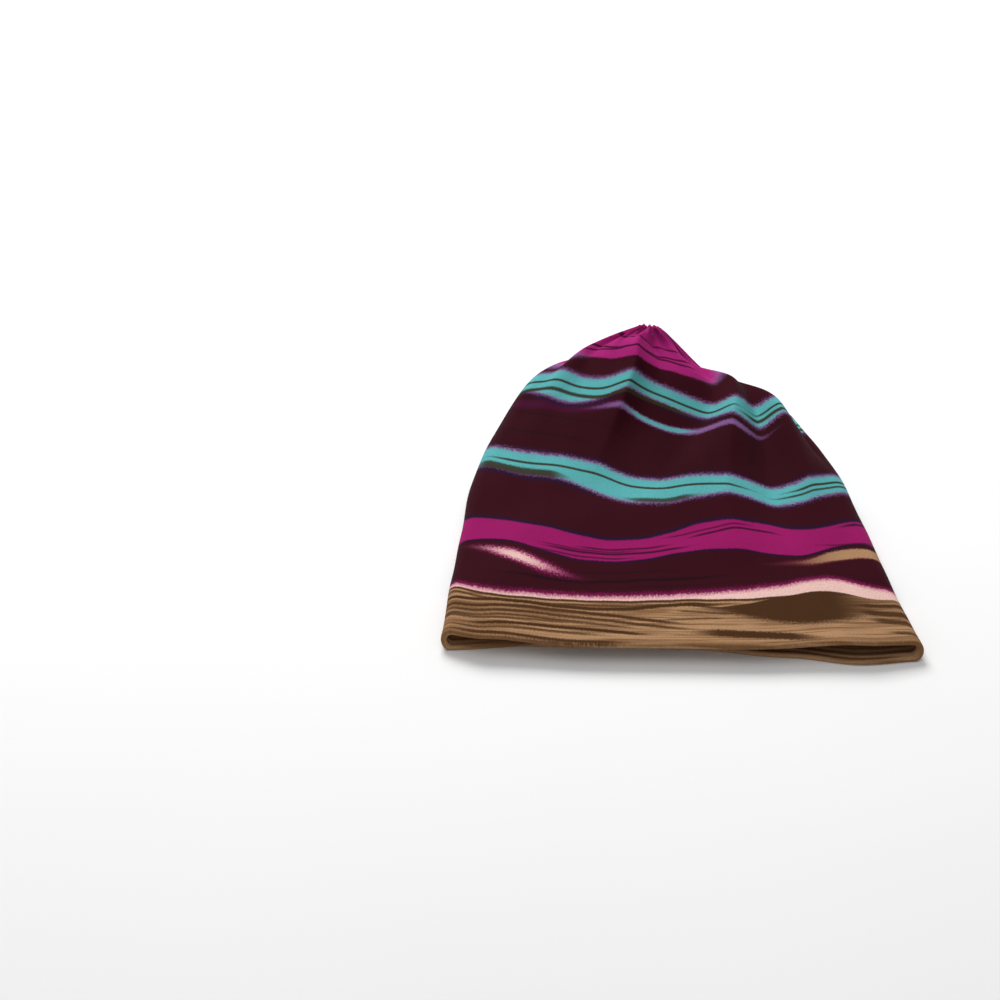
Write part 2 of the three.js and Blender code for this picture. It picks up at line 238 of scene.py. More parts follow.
def hem_swell(t):
    return (BRIM_ROLL - CLOTH) / 2 * np.exp(-(t * CAP_LENGTH / BRIM_ROLL_DEPTH) ** 2)


def relief(a, t):
    return fold_relief(a, t) + pleat_relief(a, t) + fine_relief(a, t)


def outer_point(a, t):
    p = base_point(a, t) + base_normal(a, t) * (relief(a, t) + hem_swell(t))[..., None]
    p[..., 2] = np.maximum(p[..., 2], 0)
    return p


def inner_point(a, t):
    p = base_point(a, t) + base_normal(a, t) * (relief(a, t) - hem_swell(t) - CLOTH)[..., None]
    p[..., 2] = np.maximum(p[..., 2], CLOTH)
    return p


def roll_point(a, step, steps):
    """The brim's edge is a half circle between the two faces, bulging out of the mouth."""
    zero = np.zeros_like(a)
    outside, inside = outer_point(a, zero), inner_point(a, zero)
    middle = (outside + inside) / 2
    across = outside - middle
    outwards = outside - outer_point(a, zero + SLOPE_STEP)
    outwards = outwards / np.linalg.norm(outwards, axis=-1, keepdims=True)
    angle = math.pi * step / steps
    p = middle - across * math.cos(angle)
    p = p + outwards * np.linalg.norm(across, axis=-1, keepdims=True) * math.sin(angle)
    p[..., 2] = np.maximum(p[..., 2], 0)
    return p


GATHER_AXIS = np.array([0, math.cos(GATHER_TILT), math.sin(GATHER_TILT)])
GATHER_CENTRE = np.array([
    GATHER_OFFSET * BRIM_WIDTH / 2, GATHER_PLACE * CAP_LENGTH,
    CROWN_HEIGHT - math.cos(GATHER_TILT) * GATHER_RADIUS])


def gather_point(a, reach, height):
    rim = outer_point(a, np.ones_like(a)) - GATHER_CENTRE
    return GATHER_CENTRE + rim * reach + GATHER_AXIS * height * GATHER_RADIUS


# ---------------------------------------------------------------- the print, charted on the cloth
# Each line of the print is a share of the cloth's length at these places round the cap.
PLACES = [-0.25, -0.17, -0.10, -0.04, 0.00, 0.04, 0.08, 0.12, 0.16, 0.20, 0.24, 0.28, 0.32, 0.36,
          0.40, 0.44, 0.48, 0.52, 0.60, 0.68, 0.75]
LINES = {
    "brim": [0.0] * 21,
    "lens_low": [0.060, 0.060, 0.070, 0.090, 0.094, 0.088, 0.064, 0.057, 0.079, 0.101, 0.108, 0.110,
                 0.110, 0.110, 0.110, 0.110, 0.110, 0.110, 0.110, 0.110, 0.110],
    "lens_high": [0.128, 0.130, 0.128, 0.132, 0.134, 0.140, 0.168, 0.152, 0.134, 0.120, 0.112, 0.110,
                  0.110, 0.110, 0.110, 0.110, 0.110, 0.110, 0.110, 0.110, 0.110],
    "cream_low": [0.128, 0.130, 0.128, 0.132, 0.134, 0.138, 0.166, 0.150, 0.144, 0.143, 0.140, 0.131,
                  0.130, 0.134, 0.131, 0.126, 0.147, 0.154, 0.142, 0.132, 0.128],
    "cream_high": [0.144, 0.148, 0.150, 0.155, 0.158, 0.180, 0.205, 0.181, 0.172, 0.164, 0.153, 0.144,
                   0.142, 0.145, 0.144, 0.137, 0.157, 0.164, 0.154, 0.147, 0.144],
    "rib_high": [0.100, 0.104, 0.108, 0.112, 0.114, 0.118, 0.122, 0.124, 0.125, 0.126, 0.126, 0.112,
                 0.104, 0.111, 0.114, 0.113, 0.111, 0.113, 0.108, 0.104, 0.100],
    "rib_middle": [0.070, 0.066, 0.064, 0.062, 0.060, 0.060, 0.060, 0.060, 0.060, 0.062, 0.066, 0.076,
                   0.088, 0.098, 0.101, 0.095, 0.089, 0.088, 0.080, 0.074, 0.070],
    "rib_low": [0.030, 0.028, 0.026, 0.025, 0.025, 0.025, 0.025, 0.025, 0.025, 0.025, 0.026, 0.029,
                0.040, 0.048, 0.047, 0.040, 0.037, 0.037, 0.034, 0.032, 0.030],
    "hem_streak": [0.004, 0.000, -0.004, -0.004, -0.004, -0.004, 0.002, 0.017, 0.031, 0.038, 0.040, 0.040,
                   0.036, 0.030, 0.024, 0.018, 0.014, 0.012, 0.010, 0.008, 0.004],
    "black": [0.205, 0.214, 0.214, 0.222, 0.226, 0.228, 0.228, 0.228, 0.222, 0.211, 0.198, 0.192,
              0.187, 0.187, 0.194, 0.202, 0.205, 0.205, 0.200, 0.200, 0.205],
    "magenta_low": [0.300, 0.322, 0.330, 0.329, 0.328, 0.332, 0.288, 0.278, 0.295, 0.293, 0.277, 0.251,
                    0.249, 0.257, 0.286, 0.317, 0.312, 0.307, 0.296, 0.284, 0.290],
    "magenta_high": [0.392, 0.410, 0.415, 0.419, 0.420, 0.399, 0.365, 0.386, 0.392, 0.387, 0.353, 0.322,
                     0.323, 0.340, 0.365, 0.388, 0.394, 0.394, 0.372, 0.350, 0.366],
    "teal_low": [0.478, 0.500, 0.510, 0.514, 0.515, 0.494, 0.455, 0.457, 0.477, 0.469, 0.450, 0.445,
                 0.467, 0.511, 0.531, 0.546, 0.575, 0.575, 0.548, 0.508, 0.492],
    "teal_high": [0.540, 0.566, 0.576, 0.575, 0.572, 0.550, 0.514, 0.516, 0.527, 0.535, 0.526, 0.524,
                  0.556, 0.580, 0.595, 0.609, 0.632, 0.634, 0.606, 0.566, 0.552],
    "lilac": [0.690, 0.700, 0.704, 0.703, 0.702, 0.701, 0.700, 0.668, 0.692, 0.680, 0.678, 0.716,
              0.722, 0.724, 0.741, 0.755, 0.765, 0.765, 0.742, 0.712, 0.700],
    "crown_teal_low": [0.724, 0.734, 0.736, 0.736, 0.736, 0.735, 0.730, 0.704, 0.725, 0.734, 0.750, 0.776,
                       0.752, 0.747, 0.763, 0.796, 0.804, 0.806, 0.786, 0.752, 0.740],
    "crown_teal_high": [0.778, 0.790, 0.792, 0.790, 0.788, 0.786, 0.790, 0.763, 0.769, 0.780, 0.797, 0.820,
                        0.804, 0.821, 0.846, 0.861, 0.850, 0.846, 0.836, 0.806, 0.794],
    "crown": [0.846, 0.850, 0.868, 0.892, 0.905, 0.908, 0.898, 0.854, 0.834, 0.842, 0.848, 0.866,
              0.864, 0.893, 0.892, 0.890, 0.890, 0.890, 0.878, 0.856, 0.848],
    "glint_left": [0.19] * 12 + [0.190, 0.202, 0.237, 0.273, 0.292, 0.296, 0.296, 0.296, 0.296],
    "glint_right": [0.300, 0.300, 0.292, 0.286, 0.290, 0.298, 0.264, 0.254, 0.250] + [0.25] * 12,
    "thread_low": [0.330, 0.330, 0.330, 0.330, 0.330, 0.320, 0.307, 0.322, 0.336, 0.316, 0.292, 0.273,
                   0.273, 0.282, 0.300, 0.330, 0.345, 0.345, 0.330, 0.320, 0.330],
    "inner_wine": [-0.120] * 21,
    "inner_teal": [-0.300] * 21,
    "inner_deep": [-0.360] * 21,
}


# A line's corners are rounded over this much of the way round, to each side.
LINE_EASE = [-0.020, -0.010, 0.0, 0.010, 0.020]


def print_line(name, a):
    eased = [monotone(PLACES, LINES[name], np.clip(a + step, PLACES[0], PLACES[-1])) for step in LINE_EASE]
    return np.mean(eased, axis=0) * CLOTH_LONG


# ---------------------------------------------------------------- the cap's mesh
TOP_COLUMNS = 220
UNDER_COLUMNS = 130
SIDE_CROWDING = 0.45
OUTER_ROWS = 200
INNER_ROWS = 66
ROLL_ROWS = 6
INNER_END = 0.95
# The rings of the gather go on along the cloth by this share of its length, each.
RING_STEP = 0.004
INNER_POLE = 0.02
# The cloth's map is this many times the cloth's length, as the inner face lies on it too.
MAP_SPAN = 2.1
MAP_SEAM = 0.25
ROW_CROWDING = 1.12
# reach, height of the rings that close the gather, then the dimple in its middle
GATHER_RINGS = [(0.94, 0.10), (0.84, 0.16), (0.72, 0.17), (0.58, 0.14), (0.44, 0.04), (0.30, -0.10)]
GATHER_DIMPLE = -0.3
ROLL_SHARE = 0.006


def column_places():
    """Places round the cap, from the back seam round to it again, crowded at the side folds."""
    even = np.concatenate([
        np.arange(UNDER_COLUMNS // 2) / UNDER_COLUMNS * 0.5 - 0.25,
        np.arange(TOP_COLUMNS) / TOP_COLUMNS * 0.5,
        np.arange(UNDER_COLUMNS // 2) / UNDER_COLUMNS * 0.5 + 0.5])
    return even - SIDE_CROWDING * np.sin(2 * TURN * even) / (2 * TURN)


def cap_rows(a):
    """All rings of points, and how far along the cloth each lies: below 0 inside the cap."""
    rings, cloth_along = [], []
    for i in range(INNER_ROWS + 1):
        t = INNER_END * (1 - (i / INNER_ROWS) ** ROW_CROWDING)
        rings.append(inner_point(a, np.full_like(a, t)))
        cloth_along.append(-t - ROLL_SHARE)
    for i in range(1, ROLL_ROWS):
        rings.append(roll_point(a, i, ROLL_ROWS))
        cloth_along.append(ROLL_SHARE * (i / ROLL_ROWS - 1))
    for i in range(OUTER_ROWS + 1):
        t = 1 - (1 - i / OUTER_ROWS) ** ROW_CROWDING
        rings.append(outer_point(a, np.full_like(a, t)))
        cloth_along.append(t)
    for k, (reach, height) in enumerate(GATHER_RINGS):
        rings.append(gather_point(a, reach, height))
        cloth_along.append(1 + RING_STEP * (k + 1))
    return rings, cloth_along


def build_cap():
    """The cap as one closed mesh, with its cloth map and how far each point lies from each line."""
    a = column_places()
    count = len(a)
    rings, cloth_along = cap_rows(a)
    points = np.concatenate(rings)
    inner_pole = rings[0].mean(axis=0)
    outer_pole = GATHER_CENTRE + GATHER_AXIS * GATHER_DIMPLE * GATHER_RADIUS
    points = np.vstack([points, inner_pole, outer_pole])
    pole_along = [-INNER_END - INNER_POLE, 1 + RING_STEP * (len(GATHER_RINGS) + 1)]
    along = np.append(np.repeat(cloth_along, count), pole_along)
    around = np.append(np.tile(a, len(rings)), [0.25, 0.25])

    faces, face_around, face_along = [], [], []
    ends = np.append(a[1:], a[0] + 1.0)
    for r in range(len(rings) - 1):
        for c in range(count):
            d = (c + 1) % count
            p, q = r * count, (r + 1) * count
            faces.append((p + c, p + d, q + d, q + c))
            face_around.append((a[c], ends[c], ends[c], a[c]))
            face_along.append((cloth_along[r], cloth_along[r], cloth_along[r + 1], cloth_along[r + 1]))
    last = (len(rings) - 1) * count
    for c in range(count):
        d = (c + 1) % count
        middle = (a[c] + ends[c]) / 2
        faces.append((len(points) - 2, d, c))
        face_around.append((middle, ends[c], a[c]))
        face_along.append((along[-2], cloth_along[0], cloth_along[0]))
        faces.append((len(points) - 1, last + c, last + d))
        face_around.append((middle, a[c], ends[c]))
        face_along.append((along[-1], cloth_along[-1], cloth_along[-1]))

    # The frame's origin is the middle of the outline.
    low, high = points.min(axis=0), points.max(axis=0)
    shift = np.array([(low[0] + high[0]) / 2, (low[1] + high[1]) / 2, 0.0])

    mesh = bpy.data.meshes.new("jersey_cap")
    mesh.from_pydata([tuple(p) for p in (points - shift) * MM], [], faces)
    layer = mesh.uv_layers.new(name="cloth")
    u = np.concatenate([np.array(f) for f in face_around]) + MAP_SEAM
    v = (np.concatenate([np.array(f) for f in face_along]) + 1.0) / MAP_SPAN
    layer.data.foreach_set("uv", np.stack([u, v], axis=-1).astype(np.float32).ravel())
    for name in LINES:
        distance = along * CLOTH_LONG - print_line(name, np.clip(around, -0.25, 0.75))
        mesh.attributes.new(name, "FLOAT", "POINT").data.foreach_set("value", distance.astype(np.float32))
    mesh.polygons.foreach_set("use_smooth", [True] * len(mesh.polygons))
    mesh.validate()
    mesh.update()
    return mesh, shift


# ---------------------------------------------------------------- material helpers
def linear(r, g, b):
    """A colour given as 0 to 255 screen values, as the linear light that a shader needs."""
    def one(c):
        c = c / 255
        return c / 12.92 if c <= 0.04045 else ((c + 0.055) / 1.055) ** 2.4
    return (one(r), one(g), one(b), 1.0)


class Tree:
    """Adds nodes to a tree with their inputs set by name."""

    def __init__(self, tree):
        self.tree = tree

    def node(self, kind, **settings):
        n = self.tree.nodes.new(kind)
        for key, value in settings.items():
            setattr(n, key, value)
        return n

    def put(self, socket, value):
        if isinstance(value, bpy.types.NodeSocket):
            self.tree.links.new(value, socket)
        elif value is not None:
            socket.default_value = value

    def math(self, operation, a, b=None, c=None, clamp=False):
        n = self.node("ShaderNodeMath", operation=operation, use_clamp=clamp)
        for socket, value in zip(n.inputs, (a, b, c)):
            self.put(socket, value)
        return n.outputs[0]

    def mix(self, factor, a, b, blend="MIX"):
        n = self.node("ShaderNodeMix", data_type="RGBA", blend_type=blend)
        self.put(n.inputs["Factor"], factor)
        self.put(n.inputs[6], a)
        self.put(n.inputs[7], b)
        return n.outputs[2]

    def ramp(self, value, low, high, out_low=0.0, out_high=1.0):
        n = self.node("ShaderNodeMapRange", interpolation_type="SMOOTHSTEP")
        for socket, v in zip(n.inputs, (value, low, high, out_low, out_high)):
            self.put(socket, v)
        return n.outputs[0]

    def noise(self, vector, scale, detail, rough):
        n = self.node("ShaderNodeTexNoise")
        self.put(n.inputs["Vector"], vector)
        n.inputs["Scale"].default_value = scale
        n.inputs["Detail"].default_value = detail
        n.inputs["Roughness"].default_value = rough
        return n.outputs["Fac"]

    def group(self, tree, **inputs):
        n = self.node("ShaderNodeGroup", node_tree=tree)
        for key, value in inputs.items():
            self.put(n.inputs[key.replace("_", " ")], value)
        return n


def new_material(name):
    """An empty material, and the helper that adds nodes to it."""
    material = bpy.data.materials.new(name)
    material.use_nodes = True
    material.node_tree.nodes.clear()
    return material, Tree(material.node_tree)


def surface(t, colour, normal=None, **values):
    """The Principled shader of a material, with its own sockets set by name."""
    shader = t.node("ShaderNodeBsdfPrincipled")
    t.put(shader.inputs["Base Color"], colour)
    t.put(shader.inputs["Normal"], normal)
    for key, value in values.items():
        t.put(shader.inputs[key.replace("_", " ")], value)
    t.put(t.node("ShaderNodeOutputMaterial").inputs["Surface"], shader.outputs[0])


def bump(t, height, strength, distance):
    n = t.node("ShaderNodeBump")
    n.inputs["Strength"].default_value = strength
    n.inputs["Distance"].default_value = distance
    t.put(n.inputs["Height"], height)
    return n.outputs[0]


def new_group(name, inputs, outputs):
    """A shader node group with named sockets; each input is name: (kind, value)."""
    tree = bpy.data.node_groups.new(name, "ShaderNodeTree")
    for key, (kind, value) in inputs.items():
        s = tree.interface.new_socket(key, in_out="INPUT", socket_type="NodeSocket" + kind)
        if value is not None:
            s.default_value = value
    for key, kind in outputs.items():
        tree.interface.new_socket(key, in_out="OUTPUT", socket_type="NodeSocket" + kind)
    t = Tree(tree)
    return tree, t, t.node("NodeGroupInput"), t.node("NodeGroupOutput")


def make_cloth_places():
    """Where a point lies on the cloth, in millimetres, and the strands that feather the print."""
    tree, t, _, out = new_group("cloth_places", {}, {
        "Around": "Float", "Across mm": "Float", "Along mm": "Float", "Strands": "Float",
        "Second strands": "Float", "Drift": "Float"})
    uv = t.node("ShaderNodeUVMap", uv_map="cloth")
    split = t.node("ShaderNodeSeparateXYZ")
    t.put(split.inputs[0], uv.outputs[0])
    around = t.math("SUBTRACT", split.outputs[0], MAP_SEAM)
    across = t.math("MULTIPLY", around, CLOTH_ROUND)
    along = t.math("MULTIPLY_ADD", split.outputs[1], MAP_SPAN * CLOTH_LONG, -CLOTH_LONG)

    def field(width, length, seed, detail):
        join = t.node("ShaderNodeCombineXYZ")
        t.put(join.inputs[0], t.math("DIVIDE", across, width))
        t.put(join.inputs[1], t.math("DIVIDE", along, length))
        join.inputs[2].default_value = seed
        value = t.noise(join.outputs[0], 1.0, detail, 0.6)
        return t.math("MULTIPLY_ADD", value, 5.0, -2.5)

    t.put(out.inputs["Around"], around)
    t.put(out.inputs["Across mm"], across)
    t.put(out.inputs["Along mm"], along)
    t.put(out.inputs["Strands"], field(0.95, 1.3, 3.1, 2.0))
    t.put(out.inputs["Second strands"], field(1.0, 2.2, 17.7, 2.0))
    t.put(out.inputs["Drift"], field(26.0, 40.0, 41.3, 2.0))
    return tree


def make_print_edge():
    """Colours the cloth beyond a line of the print, with a feathered edge."""
    tree, t, g, out = new_group("print_edge", {
        "Base": ("Color", (0, 0, 0, 1)), "Colour": ("Color", (1, 1, 1, 1)), "Distance": ("Float", 0.0),
        "Softness": ("Float", 0.5), "Feather": ("Float", 1.0), "Strands": ("Float", 0.0)}, {"Result": "Color"})
    o = g.outputs
    moved = t.math("MULTIPLY_ADD", o["Strands"], o["Feather"], o["Distance"])
    low = t.math("MULTIPLY", o["Softness"], -1.0)
    t.put(out.inputs["Result"], t.mix(t.ramp(moved, low, o["Softness"]), o["Base"], o["Colour"]))
    return tree


def make_print_streak():
    """Colours a thin streak that runs beside a line of the print and tapers at both ends."""
    tree, t, g, out = new_group("print_streak", {
        "Base": ("Color", (0, 0, 0, 1)), "Colour": ("Color", (1, 1, 1, 1)), "Line": ("Float", 0.0),
        "Start offset": ("Float", 0.0), "End offset": ("Float", 0.0), "Around": ("Float", 0.0),
        "From": ("Float", 0.0), "To": ("Float", 1.0), "Taper": ("Float", 0.2), "Half width": ("Float", 1.0),
        "Softness": ("Float", 0.5), "Feather": ("Float", 0.5), "Strands": ("Float", 0.0),
        "Strength": ("Float", 1.0)}, {"Result": "Color"})
    o = g.outputs
    span = t.node("ShaderNodeMapRange")
    for socket, value in zip(span.inputs, (o["Around"], o["From"], o["To"], 0.0, 1.0)):
        t.put(socket, value)
    place = span.outputs[0]
    change = t.math("SUBTRACT", o["End offset"], o["Start offset"])
    offset = t.math("MULTIPLY_ADD", place, change, o["Start offset"])
    distance = t.math("SUBTRACT", o["Line"], offset)
    distance = t.math("ABSOLUTE", t.math("MULTIPLY_ADD", o["Strands"], o["Feather"], distance))
    rise = t.ramp(place, 0.0, o["Taper"])
    fall = t.ramp(t.math("SUBTRACT", 1.0, place), 0.0, o["Taper"])
    taper = t.math("MINIMUM", rise, fall)
    half = t.math("MULTIPLY", o["Half width"], taper)
    near = t.math("SUBTRACT", half, o["Softness"])
    far = t.math("ADD", half, o["Softness"])
    mask = t.ramp(distance, near, far, 1.0, 0.0)
    mask = t.math("MULTIPLY", mask, t.math("MULTIPLY", taper, o["Strength"]), clamp=True)
    t.put(out.inputs["Result"], t.mix(mask, o["Base"], o["Colour"]))
    return tree


def make_knit():
    """Fine jersey: columns of small stitches, a slightly uneven hand and loose fibres, as a height."""
    tree, t, g, out = new_group("jersey_knit", {
        "Across mm": ("Float", 0.0), "Along mm": ("Float", 0.0), "Wale mm": ("Float", 0.85),
        "Course mm": ("Float", 0.62)}, {"Height": "Float", "Fleck": "Float"})
    o = g.outputs
    wale = t.math("DIVIDE", o["Across mm"], o["Wale mm"])
    course = t.math("DIVIDE", o["Along mm"], o["Course mm"])
    inside = t.math("ABSOLUTE", t.math("SUBTRACT", t.math("FRACT", wale), 0.5))
    ridge = t.math("COSINE", t.math("MULTIPLY", wale, TURN))
    legs = t.math("SINE", t.math("MULTIPLY", t.math("ADD", course, inside), TURN))
    knit = t.math("MULTIPLY_ADD", legs, 0.4, t.math("MULTIPLY", ridge, -0.6))
    join = t.node("ShaderNodeCombineXYZ")
    t.put(join.inputs[0], o["Across mm"])
    t.put(join.inputs[1], t.math("MULTIPLY", o["Along mm"], 0.6))
    fibres = t.noise(join.outputs[0], 1.4, 4.0, 0.7)
    uneven = t.noise(join.outputs[0], 0.16, 2.0, 0.5)
    height = t.math("MULTIPLY_ADD", fibres, 0.9, t.math("MULTIPLY", knit, 0.35))
    t.put(out.inputs["Height"], t.math("MULTIPLY_ADD", uneven, 1.2, height))
    t.put(out.inputs["Fleck"], t.noise(join.outputs[0], 1.1, 3.0, 0.75))
    return tree


# ---------------------------------------------------------------- the printed jersey
TAN = (173, 134, 98)
# darker tan: the brim's printed rows, and painted shade at the brim's left end
TAN_SHADE = (114, 78, 48)
BROWN = (70, 43, 22)
CREAM = (230, 190, 182)
PINK = (206, 122, 150)
WINE = (53, 6, 20)
DEEP_WINE = (49, 5, 17)
MAGENTA = (149, 21, 95)
CROWN_MAGENTA = (164, 33, 112)
ROSE = (120, 52, 62)
TEAL = (86, 168, 170)
LILAC = (132, 92, 146)
NAVY = (32, 14, 46)
PLUM = (68, 8, 46)
OLIVE = (52, 44, 20)
BLACK = (24, 6, 14)
PLY_DARK = (104, 20, 80)
PLY_LIGHT = (160, 44, 122)
FLOOR_DARK = (247, 247, 247)
FLOOR_LIGHT = (251, 251, 251)

# How strongly the relief of the knit and of the thread's plies shades them, and its depth in metres.
KNIT_RELIEF, KNIT_DEPTH = 0.55, 0.00022
PLY_RELIEF, PLY_DEPTH = 0.5, 0.0001

# colour, line that it starts from, softness, feather, which strands
EDGES = [
    (CREAM, "cream_low", 0.5, 0.25, "Strands"),
    (WINE, "cream_high", 1.3, 1.3, "Second strands"),
    (MAGENTA, "magenta_low", 0.5, 0.45, "Strands"),
    (WINE, "magenta_high", 0.6, 0.5, "Second strands"),
    (TEAL, "teal_low", 0.9, 1.2, "Strands"),
    (DEEP_WINE, "teal_high", 1.0, 1.4, "Second strands"),
    (TEAL, "crown_teal_low", 0.9, 1.1, "Strands"),
    (WINE, "crown_teal_high", 1.0, 1.2, "Second strands"),
    (CROWN_MAGENTA, "crown", 0.9, 0.9, "Strands"),
]

# The print goes on inside, past the turned edge: colour, line up to which it lies, which strands.
INNER_EDGES = [
    (TEAL, "inner_teal", "Strands"),
    (WINE, "inner_wine", "Strands"),
    (DEEP_WINE, "inner_deep", "Second strands"),
]

